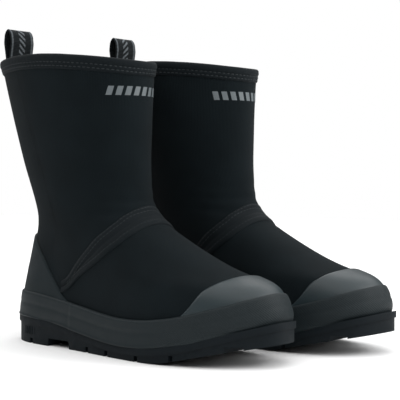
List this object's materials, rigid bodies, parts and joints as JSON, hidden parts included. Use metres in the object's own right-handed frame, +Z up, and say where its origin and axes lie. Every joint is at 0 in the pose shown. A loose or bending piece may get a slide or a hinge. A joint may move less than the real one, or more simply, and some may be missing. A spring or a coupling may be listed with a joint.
{
  "type": "pull-on neoprene boots",
  "caption": "Pair of black mid-calf pull-on boots: knit neoprene shaft and vamp, rubber toe cap, heel counter, foxing band and lugged outsole, webbing pull loop at the back of the collar.",
  "frame": {"origin": "bottom centre of the pair's box, on the floor", "axes": "+Z up; the toes point to -Y; the wearer's right boot is at -X and the left one at +X, 31 mm further forward"},
  "size_m": [0.229, 0.356, 0.2973],
  "materials": {
    "sole_rubber": "matte",
    "upper_rubber": "satin",
    "knit_neoprene": "matte",
    "lining_knit": "matte",
    "binding_tape": "matte",
    "seam_tape": "matte",
    "webbing": "matte",
    "print_film": "satin",
    "footbed_foam": "matte",
    "board": "matte",
    "shank_steel": "brushed",
    "foam": "matte"
  },
  "bodies": {
    "right_boot": {"right_outsole": "sole_rubber", "right_heel_cushion": "foam", "right_shank": "shank_steel", "right_insole_board": "board", "right_footbed": "footbed_foam", "right_lining": "lining_knit", "right_shaft": "knit_neoprene", "right_vamp": "knit_neoprene", "right_toe_cap": "upper_rubber", "right_heel_counter": "upper_rubber", "right_foxing": "upper_rubber", "right_seam_tape": "seam_tape", "right_collar_binding": "binding_tape", "right_loop_anchor": "webbing", "right_front_print": "print_film"},
    "left_boot": {"left_outsole": "sole_rubber", "left_heel_cushion": "foam", "left_shank": "shank_steel", "left_insole_board": "board", "left_footbed": "footbed_foam", "left_lining": "lining_knit", "left_shaft": "knit_neoprene", "left_vamp": "knit_neoprene", "left_toe_cap": "upper_rubber", "left_heel_counter": "upper_rubber", "left_foxing": "upper_rubber", "left_seam_tape": "seam_tape", "left_collar_binding": "binding_tape", "left_loop_anchor": "webbing", "left_front_print": "print_film"},
    "right_loop": {"right_pull_loop": "webbing"},
    "left_loop": {"left_pull_loop": "webbing"}
  },
  "joints": [
    {"name": "left_lift", "type": "slide", "parent": "right_boot", "child": "left_boot", "axis": [0, 0, 1], "range_m": [0, 0.35]},
    {"name": "right_loop_fold", "type": "hinge", "parent": "right_boot", "child": "right_loop", "pos_m": [-0.058, 0.17016, 0.2653], "axis": [1, 0, 0], "range_deg": [-60, 60]},
    {"name": "left_loop_fold", "type": "hinge", "parent": "left_boot", "child": "left_loop", "pos_m": [0.058, 0.13916, 0.2653], "axis": [1, 0, 0], "range_deg": [-60, 60]}
  ]
}
